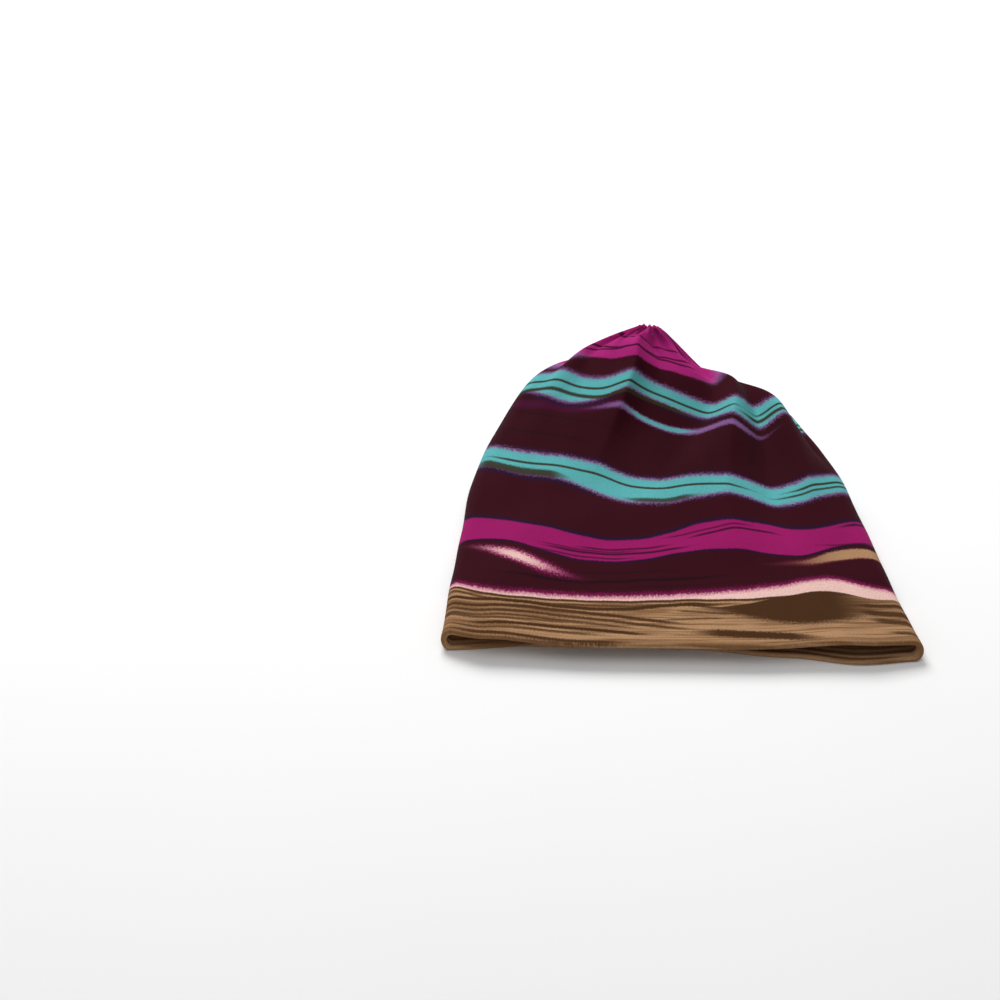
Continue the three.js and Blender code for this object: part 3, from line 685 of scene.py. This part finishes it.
# colour, line beside which it runs, offsets at its start and end, from and to round the cap,
# taper, half width, softness, feather, strength
STREAKS = [
    # the tan brim
    (TAN_SHADE, "rib_high", -4.0, -4.0, 0.24, 0.75, 0.05, 1.8, 1.4, 0.8, 0.6),
    # painted shade: a broad darker wash over the left part of the brim, where the fold shades it
    (TAN_SHADE, "rib_middle", -5.0, -4.0, 0.30, 0.54, 0.35, 4.2, 2.0, 0.8, 0.45),
    (TAN_SHADE, "brim", 1.0, 2.0, -0.25, 0.75, 0.05, 1.6, 1.6, 0.7, 0.5),
    # painted shade: a wide, faint darkening of the brim's left end
    (TAN_SHADE, "brim", 18.0, 18.0, 0.45, 0.62, 0.5, 15.0, 4.0, 1.2, 0.2),
    (BROWN, "cream_low", -0.8, -0.8, 0.1, 0.54, 0.08, 1.0, 0.5, 0.25, 0.95),
    (BROWN, "cream_low", -3.8, -4.4, 0.15, 0.54, 0.15, 0.9, 0.6, 0.35, 0.85),
    (BROWN, "rib_high", 0.0, 0.0, 0.18, 0.54, 0.12, 1.4, 0.6, 0.35, 1.0),
    (BROWN, "rib_middle", 0.0, 0.0, 0.22, 0.54, 0.15, 1.3, 0.6, 0.35, 0.95),
    (BROWN, "rib_middle", -4.6, -4.2, 0.20, 0.54, 0.2, 1.2, 0.7, 0.4, 0.9),
    (BROWN, "rib_middle", -8.6, -8.0, 0.27, 0.54, 0.2, 1.1, 0.7, 0.4, 0.8),
    (BROWN, "rib_low", 0.0, 0.0, 0.255, 0.50, 0.2, 1.4, 0.6, 0.35, 1.0),
    (BROWN, "rib_low", 4.6, 4.2, 0.33, 0.54, 0.25, 1.0, 0.6, 0.4, 0.8),
    (BROWN, "rib_low", -4.6, -4.0, 0.30, 0.52, 0.25, 1.1, 0.6, 0.4, 0.8),
    (BROWN, "brim", 0.4, 2.6, 0.27, 0.52, 0.25, 1.5, 0.8, 0.4, 0.95),
    (BROWN, "brim", 31.0, 35.5, 0.165, 0.26, 0.25, 0.84, 0.45, 0.225, 0.864),
    (BROWN, "brim", 27.5, 30.0, 0.18, 0.26, 0.25, 0.84, 0.45, 0.225, 0.81),
    (BROWN, "brim", 24.5, 21.5, 0.19, 0.275, 0.25, 0.84, 0.5, 0.225, 0.756),
    (BROWN, "hem_streak", 0.0, 0.0, 0.085, 0.258, 0.3, 3.22, 1.1, 0.84, 1.0),
    (BROWN, "brim", 29.0, 33.5, -0.06, 0.07, 0.2, 1.8, 1.0, 0.4, 0.95),
    (BROWN, "brim", 17.0, 28.0, -0.06, 0.07, 0.2, 2.6, 1.2, 0.5, 0.95),
    (BROWN, "brim", 7.0, 21.0, -0.06, 0.06, 0.2, 2.4, 1.2, 0.5, 0.9),
    (BROWN, "brim", 1.0, 8.0, -0.06, 0.045, 0.2, 1.4, 0.8, 0.315, 0.864),
    (BROWN, "brim", 6.0, 9.0, -0.2, -0.03, 0.2, 1.26, 0.6, 0.225, 0.756),
    (BROWN, "brim", 1.5, 2.5, -0.24, -0.08, 0.2, 1.12, 0.6, 0.225, 0.756),
    (BROWN, "brim", -3.6, -3.0, -0.25, 0.00, 0.2, 1.0, 0.7, 0.3, 0.8),
    (BROWN, "brim", -7.5, -7.0, -0.25, 0.49, 0.2, 1.4, 0.9, 0.3, 0.7),
    (BROWN, "brim", 27.0, 22.0, 0.55, 0.74, 0.2, 1.12, 0.6, 0.225, 0.648),
    (BROWN, "brim", 11.0, 15.0, 0.52, 0.72, 0.2, 1.12, 0.6, 0.225, 0.648),
    (BROWN, "brim", 2.0, 1.0, 0.53, 0.74, 0.2, 0.98, 0.6, 0.225, 0.648),
    # the wine field with its glints
    (PINK, "cream_high", -0.8, -0.8, -0.25, 0.75, 0.02, 0.9, 1.2, 1.2, 0.7),
    (MAGENTA, "cream_high", 1.6, 1.6, -0.25, 0.75, 0.02, 1.2, 2.0, 1.7, 0.6),
    (BLACK, "black", 0.0, 0.0, 0.14, 0.48, 0.25, 1.0, 0.8, 0.36, 0.8),
    (BLACK, "black", 6.0, 8.0, 0.2, 0.4, 0.4, 0.6, 0.7, 0.27, 0.5),
    (BLACK, "black", -6.0, -5.0, 0.12, 0.36, 0.4, 0.6, 0.8, 0.27, 0.4),
    (MAGENTA, "glint_left", 0.0, 0.0, 0.325, 0.500, 0.5, 6.0, 2.8, 2.2, 0.85),
    (PINK, "glint_left", 0.0, 0.0, 0.345, 0.488, 0.5, 4.3, 2.0, 2.2, 0.9),
    (CREAM, "glint_left", 0.0, 0.0, 0.362, 0.474, 0.5, 3.2, 1.6, 2.2, 1.0),
    (ROSE, "glint_right", 0.5, -0.5, -0.12, 0.165, 0.4, 4.6, 1.6, 0.8, 0.9),
    (TAN, "glint_right", 0.5, 0.0, -0.12, 0.124, 0.3, 4.4, 1.0, 0.7, 0.95),
    # the magenta band
    (NAVY, "magenta_low", -0.7, -0.7, -0.25, 0.75, 0.02, 1.0, 0.7, 0.27, 0.75),
    (NAVY, "magenta_high", 0.7, 0.9, -0.25, 0.75, 0.02, 1.5, 0.8, 0.49, 0.9),
    (PLUM, "thread_low", 0.0, 0.0, 0.205, 0.41, 0.2, 0.975, 0.5, 0.18, 1.0),
    (PLUM, "thread_low", 4.2, 4.5, 0.23, 0.37, 0.25, 0.845, 0.5, 0.18, 0.935),
    (PLUM, "thread_low", 9.0, 8.0, 0.1, 0.24, 0.25, 0.975, 0.5, 0.18, 0.99),
    (PLUM, "thread_low", -4.2, -4.0, 0.27, 0.44, 0.25, 0.78, 0.5, 0.18, 0.825),
    (PLUM, "thread_low", 2.5, 1.5, -0.08, 0.1, 0.25, 0.78, 0.5, 0.18, 0.66),
    (PLUM, "thread_low", 12.5, 12.0, 0.13, 0.27, 0.25, 0.8, 0.5, 0.2, 0.8),
    (PLUM, "thread_low", 2.0, 2.2, 0.26, 0.42, 0.3, 0.7, 0.5, 0.2, 0.8),
    (NAVY, "magenta_high", -4.5, -3.0, -0.05, 0.06, 0.3, 1.2, 0.7, 0.42, 0.9),
    # the lower turquoise band
    (LILAC, "teal_low", -0.4, -0.4, -0.25, 0.75, 0.02, 1.2, 1.6, 2.2, 0.7),
    (NAVY, "teal_low", -3.4, -3.4, 0.3, 0.56, 0.2, 1.7, 1.3, 0.91, 0.75),
    (NAVY, "teal_low", -2.6, -2.6, 0.02, 0.24, 0.25, 1.0, 1.0, 0.45, 0.5),
    (LILAC, "teal_high", 0.4, 0.4, -0.25, 0.75, 0.02, 1.2, 1.6, 2.2, 0.7),
    (NAVY, "teal_high", 3.0, 3.0, -0.1, 0.5, 0.15, 1.2, 1.0, 0.7, 0.55),
    (OLIVE, "teal_high", -8.0, -8.5, 0.11, 0.5, 0.15, 1.0, 0.5, 0.18, 0.95),
    (OLIVE, "teal_high", -8.7, -6.0, -0.2, 0.12, 0.15, 1.0, 0.5, 0.18, 0.95),
    (OLIVE, "teal_high", -11.4, -10.2, -0.12, 0.14, 0.2, 0.875, 0.5, 0.18, 0.9),
    (OLIVE, "teal_low", 2.4, 1.2, 0.35, 0.51, 0.25, 2.875, 1.1, 0.63, 0.95),
    (OLIVE, "teal_low", 1.2, 2.4, 0.19, 0.31, 0.3, 1.875, 0.9, 0.49, 0.9),
    # the deep wine field
    (BLACK, "teal_high", 16.0, 18.0, 0.3, 0.52, 0.3, 0.9, 1.0, 0.45, 0.45),
    (BLACK, "teal_high", 30.0, 34.0, 0.24, 0.5, 0.3, 0.8, 1.0, 0.45, 0.35),
    # the upper turquoise band
    (PLUM, "lilac", 1.0, 0.0, 0.26, 0.5, 0.2, 3.38, 1.8, 0.84, 0.77),
    (LILAC, "lilac", 0.0, 0.0, 0.06, 0.37, 0.25, 2.3, 1.3, 1.05, 0.85),
    (TEAL, "lilac", 0.3, 0.3, 0.18, 0.31, 0.3, 1.6, 0.9, 0.7, 0.95),
    (LILAC, "crown_teal_low", -0.4, -0.4, -0.25, 0.75, 0.02, 1.2, 1.6, 2.2, 0.7),
    (NAVY, "crown_teal_low", -3.2, -3.2, 0.1, 0.5, 0.2, 1.4, 1.1, 0.7, 0.7),
    (LILAC, "crown_teal_high", 0.4, 0.4, -0.25, 0.75, 0.02, 1.2, 1.6, 2.2, 0.7),
    (OLIVE, "crown_teal_high", -7.5, -9.0, 0.1, 0.52, 0.12, 1.0, 0.5, 0.18, 0.95),
    (OLIVE, "crown_teal_high", -14.5, -16.5, 0.17, 0.52, 0.15, 1.5, 0.7, 0.35, 0.95),
    (OLIVE, "crown_teal_high", -6.8, -7.5, -0.15, 0.13, 0.2, 0.875, 0.5, 0.18, 0.95),
    (OLIVE, "crown_teal_high", -12.0, -12.0, -0.1, 0.15, 0.2, 1.375, 0.6, 0.35, 0.95),
    # the magenta crown
    (LILAC, "crown", 0.3, 0.3, -0.2, 0.20, 0.3, 2.6, 2.5, 1.8, 0.75),
    (LILAC, "crown", 0.5, 0.5, 0.34, 0.62, 0.3, 3.4, 2.5, 1.12, 0.7),
    (PLUM, "crown", 8.0, 12.0, 0.12, 0.46, 0.2, 0.91, 0.5, 0.225, 0.99),
    (PLUM, "crown", 15.0, 5.0, 0.1, 0.44, 0.2, 0.845, 0.5, 0.225, 0.935),
    (PLUM, "crown", 20.0, 24.0, 0.05, 0.5, 0.2, 0.91, 0.5, 0.225, 0.88),
]


def make_jersey(places, edge, streak, knit):
    """The whole print, painted over the tan of the brim, with painted shade at the brim's left end, and the
    knit's grain and relief.
    """
    material, t = new_material("printed_jersey")
    where = t.group(places).outputs
    lines = {name: t.node("ShaderNodeAttribute", attribute_name=name).outputs["Fac"] for name in LINES}

    # The tan of the brim, streaked along the rows of knitting.
    rows = t.node("ShaderNodeCombineXYZ")
    t.put(rows.inputs[0], t.math("DIVIDE", where["Across mm"], 70.0))
    t.put(rows.inputs[1], t.math("DIVIDE", where["Along mm"], 2.1))
    shade = t.ramp(t.noise(rows.outputs[0], 1.0, 3.0, 0.6), 0.44, 0.62)
    colour = t.mix(t.math("MULTIPLY", shade, 0.8), linear(*TAN), linear(*TAN_SHADE))
    lens = t.ramp(t.math("MULTIPLY_ADD", where["Strands"], 1.3, lines["lens_low"]), -3.0, 3.0)
    lens = t.math("MULTIPLY", lens, t.ramp(lines["lens_high"], -0.4, 0.6, 1.0, 0.0))
    lens = t.math("MULTIPLY", lens, t.ramp(where["Around"], 0.26, 0.18))
    lens = t.math("MULTIPLY", lens, t.ramp(where["Around"], 0.02, 0.085, 0.30, 1.0))
    colour = t.mix(lens, colour, linear(*BROWN))

    for paint, name, softness, feather, strands in EDGES:
        colour = t.group(edge, Base=colour, Colour=linear(*paint), Distance=lines[name], Softness=softness,
                         Feather=feather, Strands=where[strands]).outputs[0]
    for paint, name, first, last, start, end, taper, half, softness, feather, strength in STREAKS:
        colour = t.group(streak, Base=colour, Colour=linear(*paint), Line=lines[name], Start_offset=first,
                         End_offset=last, Around=where["Around"], From=start, To=end, Taper=taper,
                         Half_width=half, Softness=softness, Feather=feather, Strands=where["Strands"],
                         Strength=strength).outputs[0]
    for paint, name, strands in INNER_EDGES:
        colour = t.group(edge, Base=linear(*paint), Colour=colour, Distance=lines[name], Softness=0.8,
                         Feather=0.9, Strands=where[strands]).outputs[0]

    fabric = t.group(knit, Across_mm=where["Across mm"], Along_mm=where["Along mm"]).outputs
    fleck = t.ramp(fabric["Fleck"], 0.25, 0.75, 0.86, 1.16)
    worn = t.math("MULTIPLY_ADD", where["Drift"], 0.05, fleck)
    grain = t.node("ShaderNodeCombineColor")
    for socket in grain.inputs:
        t.put(socket, worn)
    colour = t.mix(1.0, colour, grain.outputs[0], "MULTIPLY")

    surface(t, colour, bump(t, fabric["Height"], KNIT_RELIEF, KNIT_DEPTH),
            Roughness=t.ramp(fabric["Fleck"], 0.2, 0.8, 0.78, 0.92), Specular_IOR_Level=0.04,
            Sheen_Weight=0.015, Sheen_Roughness=0.55, Sheen_Tint=(0.95, 0.86, 0.86, 1.0))
    return material


def make_thread():
    """The gathering thread: two plies twisted together, with a soft shine."""
    material, t = new_material("gather_thread")
    place = t.node("ShaderNodeTexCoord")
    wave = t.node("ShaderNodeTexWave", wave_type="BANDS", bands_direction="DIAGONAL")
    t.put(wave.inputs["Vector"], place.outputs["Object"])
    wave.inputs["Scale"].default_value = 900.0
    wave.inputs["Distortion"].default_value = 1.5
    fuzz = t.noise(place.outputs["Object"], 2500.0, 2.0, 0.6)
    tone = t.math("MULTIPLY_ADD", fuzz, 0.5, t.math("MULTIPLY", wave.outputs["Fac"], 0.5))
    colour = t.mix(tone, linear(*PLY_DARK), linear(*PLY_LIGHT))
    surface(t, colour, bump(t, wave.outputs["Fac"], PLY_RELIEF, PLY_DEPTH), Roughness=0.5, Sheen_Weight=0.2)
    return material


def make_floor_material():
    material, t = new_material("pale_floor")
    place = t.node("ShaderNodeTexCoord")
    tone = t.noise(place.outputs["Object"], 3.0, 3.0, 0.5)
    colour = t.mix(tone, linear(*FLOOR_DARK), linear(*FLOOR_LIGHT))
    surface(t, colour, Roughness=0.9, Specular_IOR_Level=0.1)
    return material


# ---------------------------------------------------------------- gather stitches
STITCHES = 26
STITCH_ALONG = 0.972
STITCH_LENGTH = 0.0021
STITCH_RADIUS = 0.00034
STITCH_WANDER = 0.006
STITCH_STANDS_OUT = 0.15
STITCH_UNEVENNESS = 0.18
STITCH_SEED = 7


def stitch_tree(thread):
    """A short thread on each point, lying along its own direction and a little uneven."""
    tree = bpy.data.node_groups.new("gather_stitching", "GeometryNodeTree")
    sockets = tree.interface
    sockets.new_socket("Geometry", in_out="INPUT", socket_type="NodeSocketGeometry")
    for name, value in (("Stitch length", STITCH_LENGTH), ("Thread radius", STITCH_RADIUS),
                        ("Unevenness", STITCH_UNEVENNESS)):
        sockets.new_socket(name, in_out="INPUT", socket_type="NodeSocketFloat").default_value = value
    sockets.new_socket("Seed", in_out="INPUT", socket_type="NodeSocketInt").default_value = STITCH_SEED
    sockets.new_socket("Geometry", in_out="OUTPUT", socket_type="NodeSocketGeometry")
    nodes, links = tree.nodes, tree.links
    given, result = nodes.new("NodeGroupInput"), nodes.new("NodeGroupOutput")
    ball = nodes.new("GeometryNodeMeshUVSphere")
    ball.inputs["Segments"].default_value = 10
    ball.inputs["Rings"].default_value = 12
    ball.inputs["Radius"].default_value = 1.0
    size = nodes.new("ShaderNodeCombineXYZ")
    half = nodes.new("ShaderNodeMath")
    half.operation = "MULTIPLY"
    half.inputs[1].default_value = 0.5
    links.new(given.outputs["Stitch length"], half.inputs[0])
    links.new(given.outputs["Thread radius"], size.inputs[0])
    links.new(given.outputs["Thread radius"], size.inputs[1])
    links.new(half.outputs[0], size.inputs[2])
    shaped = nodes.new("GeometryNodeTransform")
    links.new(ball.outputs["Mesh"], shaped.inputs["Geometry"])
    links.new(size.outputs[0], shaped.inputs["Scale"])
    spots = nodes.new("GeometryNodeMeshToPoints")
    links.new(given.outputs["Geometry"], spots.inputs["Mesh"])
    direction = nodes.new("GeometryNodeInputNamedAttribute")
    direction.data_type = "FLOAT_VECTOR"
    direction.inputs["Name"].default_value = "direction"
    turn = nodes.new("FunctionNodeAlignRotationToVector")
    turn.axis = "Z"
    links.new(direction.outputs["Attribute"], turn.inputs["Vector"])
    uneven = nodes.new("FunctionNodeRandomValue")
    uneven.data_type = "FLOAT"
    less = nodes.new("ShaderNodeMath")
    less.operation = "SUBTRACT"
    less.inputs[0].default_value = 1.0
    links.new(given.outputs["Unevenness"], less.inputs[1])
    links.new(less.outputs[0], uneven.inputs[2])
    uneven.inputs[3].default_value = 1.1
    links.new(given.outputs["Seed"], uneven.inputs["Seed"])
    place = nodes.new("GeometryNodeInstanceOnPoints")
    links.new(spots.outputs["Points"], place.inputs["Points"])
    links.new(shaped.outputs["Geometry"], place.inputs["Instance"])
    links.new(turn.outputs["Rotation"], place.inputs["Rotation"])
    links.new(uneven.outputs[1], place.inputs["Scale"])
    real = nodes.new("GeometryNodeRealizeInstances")
    links.new(place.outputs["Instances"], real.inputs["Geometry"])
    dress = nodes.new("GeometryNodeSetMaterial")
    dress.inputs["Material"].default_value = thread
    links.new(real.outputs["Geometry"], dress.inputs["Geometry"])
    links.new(dress.outputs["Geometry"], result.inputs["Geometry"])
    return tree


def build_stitches(shift, thread):
    """Small stitches round the gathered crown, each sunk halfway into the cloth."""
    a = (np.arange(STITCHES) + 0.5) / STITCHES
    t = STITCH_ALONG + STITCH_WANDER * np.sin(TURN * 3 * a)
    here = outer_point(a, t) + STITCH_STANDS_OUT * base_normal(a, t)
    ahead = outer_point(a + 0.004, t - 0.004) - outer_point(a - 0.004, t + 0.004)
    ahead = ahead / np.linalg.norm(ahead, axis=-1, keepdims=True)
    mesh = bpy.data.meshes.new("stitch_places")
    mesh.from_pydata([tuple(p) for p in (here - shift) * MM], [], [])
    mesh.attributes.new("direction", "FLOAT_VECTOR", "POINT").data.foreach_set(
        "vector", ahead.astype(np.float32).ravel())
    guide = bpy.data.objects.new("stitch_guide", mesh)
    bpy.context.scene.collection.objects.link(guide)
    tree = stitch_tree(thread)
    modifier = guide.modifiers.new("stitches", "NODES")
    modifier.node_group = tree
    for item in tree.interface.items_tree:
        if item.item_type == "SOCKET" and item.in_out == "INPUT" and item.name == "Seed":
            modifier[item.identifier] = STITCH_SEED
    bpy.context.view_layer.update()
    depsgraph = bpy.context.evaluated_depsgraph_get()
    made = bpy.data.meshes.new_from_object(guide.evaluated_get(depsgraph), depsgraph=depsgraph)
    guide.modifiers.remove(modifier)
    bpy.data.objects.remove(guide)
    made.name = "gather_stitches"
    if not made.materials:
        made.materials.append(thread)
    made.polygons.foreach_set("use_smooth", [True] * len(made.polygons))
    piece = bpy.data.objects.new("gather_stitches", made)
    bpy.context.scene.collection.objects.link(piece)
    return piece


# ---------------------------------------------------------------- camera, floor and light
CAMERA_HEIGHT_ANGLE = math.radians(40)
CAMERA_SIDE_ANGLE = math.radians(2)
CAMERA_DISTANCE = 1.1
IMAGE = 1000
BRIM_PIXELS = 479
BRIM_MIDDLE_PIXEL = (682, 655)
SENSOR = 36.0
WORLD_LIGHT = 0.38
FLOOR_REACH = 6.0
# name, place, point that it faces, size, power
LIGHTS = [
    ("window", (-0.45, 1.2, 1.25), (0.0, 0.05, 0.0), (1.0, 0.8), 30.0),
    ("overhead", (0.1, -0.2, 1.7), (0.0, 0.0, 0.0), (1.6, 1.6), 4.5),
]


def place_camera(shift):
    e, s = CAMERA_HEIGHT_ANGLE, CAMERA_SIDE_ANGLE
    back = Vector((math.sin(s) * math.cos(e), -math.cos(s) * math.cos(e), math.sin(e)))
    target = Vector((-shift[0] * MM, -shift[1] * MM, 0.0))
    data = bpy.data.cameras.new("camera")
    data.sensor_width = SENSOR
    data.lens = BRIM_PIXELS / (BRIM_WIDTH * MM) * CAMERA_DISTANCE / IMAGE * data.sensor_width
    data.shift_x = -(BRIM_MIDDLE_PIXEL[0] - IMAGE / 2) / IMAGE
    data.shift_y = (BRIM_MIDDLE_PIXEL[1] - IMAGE / 2) / IMAGE
    data.clip_start = 0.05
    camera = bpy.data.objects.new("camera", data)
    camera.location = target + back * CAMERA_DISTANCE
    camera.rotation_euler = (-back).to_track_quat("-Z", "Y").to_euler()
    bpy.context.scene.collection.objects.link(camera)
    bpy.context.scene.camera = camera


def area_light(name, place, aim, size, power):
    data = bpy.data.lights.new(name, "AREA")
    data.shape = "RECTANGLE"
    data.size, data.size_y = size
    data.energy = power
    lamp = bpy.data.objects.new(name, data)
    lamp.location = place
    lamp.rotation_euler = (Vector(aim) - Vector(place)).to_track_quat("-Z", "Y").to_euler()
    bpy.context.scene.collection.objects.link(lamp)


def light_the_scene():
    world = bpy.data.worlds.new("studio")
    world.use_nodes = True
    background = world.node_tree.nodes["Background"]
    background.inputs["Color"].default_value = (1.0, 1.0, 1.0, 1.0)
    background.inputs["Strength"].default_value = WORLD_LIGHT
    bpy.context.scene.world = world
    for lamp in LIGHTS:
        area_light(*lamp)
    bpy.context.scene.view_settings.view_transform = "Standard"


def build_floor():
    mesh = bpy.data.meshes.new("floor")
    r = FLOOR_REACH
    mesh.from_pydata([(-r, -r, 0), (r, -r, 0), (r, r, 0), (-r, r, 0)], [], [(0, 1, 2, 3)])
    floor = bpy.data.objects.new("floor", mesh)
    mesh.materials.append(make_floor_material())
    bpy.context.scene.collection.objects.link(floor)


# ---------------------------------------------------------------- put together
cap_mesh, shift = build_cap()
jersey = make_jersey(make_cloth_places(), make_print_edge(), make_print_streak(), make_knit())
cap_mesh.materials.append(jersey)
cap = bpy.data.objects.new("jersey_cap", cap_mesh)
bpy.context.scene.collection.objects.link(cap)
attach(cap, "root")
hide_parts("cap_body")

stitches = build_stitches(shift, make_thread())
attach(stitches, "root")

build_floor()
light_the_scene()
place_camera(shift)
